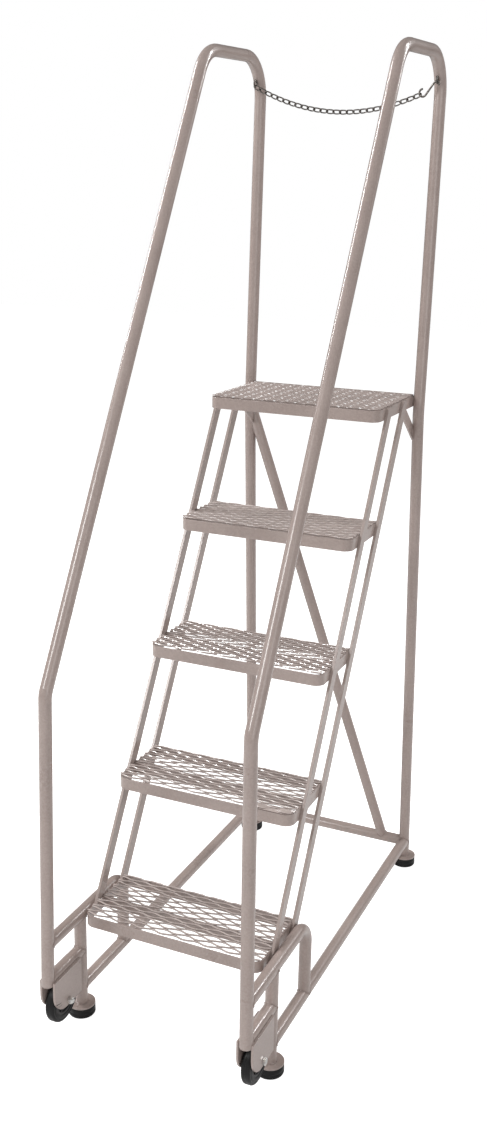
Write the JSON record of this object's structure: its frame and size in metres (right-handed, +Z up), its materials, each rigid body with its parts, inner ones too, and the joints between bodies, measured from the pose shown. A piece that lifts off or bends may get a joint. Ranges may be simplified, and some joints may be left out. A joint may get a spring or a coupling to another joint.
{
  "type": "rolling warehouse ladder",
  "caption": "Rolling steel step ladder with expanded metal steps, bent tube handrails, tilt-and-roll front wheels and a safety chain across the platform's open rear.",
  "frame": {"origin": "on the floor, at the middle of the ladder's overall width and depth", "axes": "+Z up, the steps and wheels face -Y (a person climbs towards +Y), +X to the right of a person climbing"},
  "size_m": [0.5054, 1.086, 2.0319],
  "materials": {
    "powder_coated_steel": "gloss",
    "black_rubber": "satin",
    "black_plastic": "satin",
    "zinc_plated_steel": "bright",
    "chain_steel": "dull"
  },
  "bodies": {
    "ladder_frame": {"handrail_left": "powder_coated_steel", "handrail_right": "powder_coated_steel", "rear_leg_left": "powder_coated_steel", "rear_leg_right": "powder_coated_steel", "step_support_left": "powder_coated_steel", "step_support_right": "powder_coated_steel", "front_foot_leg_left": "powder_coated_steel", "front_foot_leg_right": "powder_coated_steel", "wheel_mount_tube_left": "powder_coated_steel", "wheel_mount_tube_right": "powder_coated_steel", "base_rail_left": "powder_coated_steel", "base_rail_right": "powder_coated_steel", "rear_crossbar": "powder_coated_steel", "diagonal_brace": "powder_coated_steel", "stringer_front_left": "powder_coated_steel", "stringer_rear_left": "powder_coated_steel", "stringer_front_right": "powder_coated_steel", "stringer_rear_right": "powder_coated_steel", "platform_gusset_left": "powder_coated_steel", "platform_gusset_right": "powder_coated_steel", "step_frame_1": "powder_coated_steel", "step_frame_2": "powder_coated_steel", "step_frame_3": "powder_coated_steel", "step_frame_4": "powder_coated_steel", "platform_frame": "powder_coated_steel", "step_tread_1": "powder_coated_steel", "step_tread_2": "powder_coated_steel", "step_tread_3": "powder_coated_steel", "step_tread_4": "powder_coated_steel", "platform_tread": "powder_coated_steel", "step_stiffener_1": "powder_coated_steel", "step_stiffener_2": "powder_coated_steel", "step_stiffener_3": "powder_coated_steel", "step_stiffener_4": "powder_coated_steel", "platform_stiffener": "powder_coated_steel", "wheel_plate_inner_left": "powder_coated_steel", "wheel_plate_outer_left": "powder_coated_steel", "wheel_plate_inner_right": "powder_coated_steel", "wheel_plate_outer_right": "powder_coated_steel", "axle_bolts": "zinc_plated_steel", "axle_nuts": "zinc_plated_steel", "axle_washers": "zinc_plated_steel", "foot_disc_front_left": "powder_coated_steel", "foot_disc_front_right": "powder_coated_steel", "foot_disc_rear_left": "powder_coated_steel", "foot_disc_rear_right": "powder_coated_steel", "foot_pad_front_left": "black_rubber", "foot_pad_front_right": "black_rubber", "foot_pad_rear_left": "black_rubber", "foot_pad_rear_right": "black_rubber", "foot_rivets": "powder_coated_steel", "chain_eyes": "zinc_plated_steel", "chain_eye_nuts": "zinc_plated_steel"},
    "wheel_left": {"wheel_tyre_left": "black_rubber", "wheel_hub_left": "black_plastic"},
    "wheel_right": {"wheel_tyre_right": "black_rubber", "wheel_hub_right": "black_plastic"},
    "safety_chain": {"chain_links": "chain_steel", "chain_hook": "chain_steel"}
  },
  "joints": [
    {"name": "wheel_left_spin", "type": "hinge", "parent": "ladder_frame", "child": "wheel_left", "pos_m": [-0.223, -0.48153, 0.086], "axis": [1, 0, 0], "continuous": true},
    {"name": "wheel_right_spin", "type": "hinge", "parent": "ladder_frame", "child": "wheel_right", "pos_m": [0.223, -0.48153, 0.086], "axis": [1, 0, 0], "continuous": true},
    {"name": "chain_swing", "type": "hinge", "parent": "ladder_frame", "child": "safety_chain", "pos_m": [0, 0.42396, 1.9635], "axis": [1, 0, 0], "range_deg": [-90, 30]}
  ]
}
